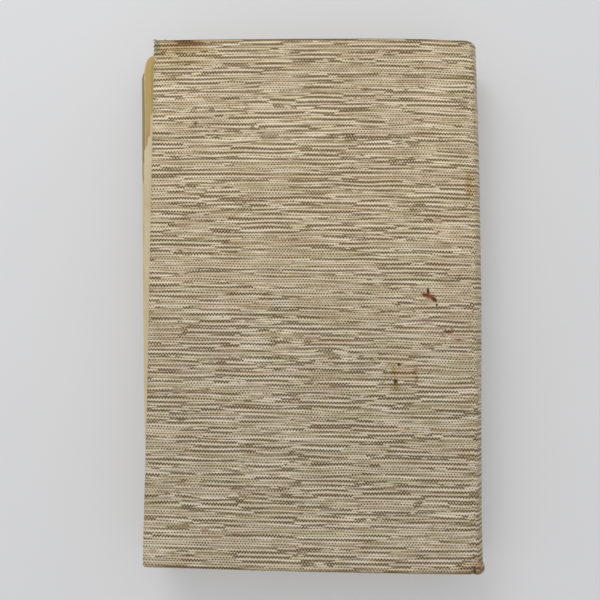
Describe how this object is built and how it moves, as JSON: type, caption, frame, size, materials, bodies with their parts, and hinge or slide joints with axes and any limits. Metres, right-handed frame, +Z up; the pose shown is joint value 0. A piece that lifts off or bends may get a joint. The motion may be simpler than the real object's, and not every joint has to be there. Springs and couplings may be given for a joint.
{
  "type": "cloth-bound hardback book",
  "caption": "Worn hardback book in slubbed oatmeal cloth, lying on its front cover, with covers that open and a slipped text block.",
  "frame": {"origin": "middle of the front cover's underside, on the surface that the book lies on", "axes": "+X towards the spine, +Y towards the head, +Z up through the book to the back cover"},
  "size_m": [0.138, 0.2058, 0.026],
  "materials": {
    "book_cloth": "matte",
    "binders_board": "matte",
    "leaves": "matte",
    "endpaper": "matte",
    "mull_cloth": "matte",
    "kraft_paper": "matte",
    "band_thread": "satin"
  },
  "bodies": {
    "front_cover": {"front_cloth": "book_cloth", "front_board": "binders_board", "front_mull_flap": "mull_cloth", "front_pastedown": "endpaper"},
    "leaves_and_spine": {"front_flyleaf": "endpaper", "text_block": "leaves", "back_flyleaf": "endpaper", "mull": "mull_cloth", "spine_lining": "kraft_paper", "head_band": "band_thread", "tail_band": "band_thread", "spine_inlay": "binders_board", "spine_cloth": "book_cloth"},
    "back_cover": {"back_cloth": "book_cloth", "back_board": "binders_board", "back_mull_flap": "mull_cloth", "back_pastedown": "endpaper"}
  },
  "joints": [
    {"name": "front_joint", "type": "hinge", "parent": "front_cover", "child": "leaves_and_spine", "pos_m": [0.06145, 0, -0.0002], "axis": [0, -1, 0], "range_deg": [-90, 0]},
    {"name": "back_joint", "type": "hinge", "parent": "leaves_and_spine", "child": "back_cover", "pos_m": [0.06545, 0, 0.0262], "axis": [0, 1, 0], "range_deg": [0, 180]}
  ]
}
